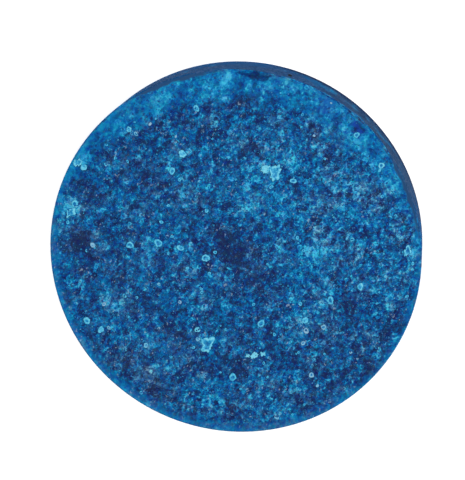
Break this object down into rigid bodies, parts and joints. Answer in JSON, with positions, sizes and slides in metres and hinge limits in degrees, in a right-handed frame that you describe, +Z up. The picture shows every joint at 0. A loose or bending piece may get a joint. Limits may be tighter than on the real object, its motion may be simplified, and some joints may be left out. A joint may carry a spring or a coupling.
{
  "type": "air stone",
  "caption": "Round disc air stone: a porous bonded-mineral plate sealed into a ribbed dish, with a barbed elbow below that takes an air hose through a slot in the skirt.",
  "frame": {"origin": "centre of the base, on the plane that the skirt stands on", "axes": "+Z up through the porous face; -Y towards the hose slot and the open end of the barbed nipple"},
  "size_m": [0.1016, 0.1016, 0.017],
  "materials": {
    "casing_plastic": "smooth moulded plastic, slate blue, semi-gloss",
    "bonded_stone": "open-grained, resin-bonded mineral grains, mottled blue",
    "epoxy": "cured epoxy, blue, glossy",
    "fitting_plastic": "moulded plastic, black",
    "washer_rubber": "soft rubber, black"
  },
  "bodies": {
    "root": {"casing": "casing_plastic", "diffuser_stone": "bonded_stone", "seal_bead": "epoxy", "inlet_elbow": "fitting_plastic", "inlet_washer": "washer_rubber", "lock_nut": "fitting_plastic"}
  },
  "joints": []
}
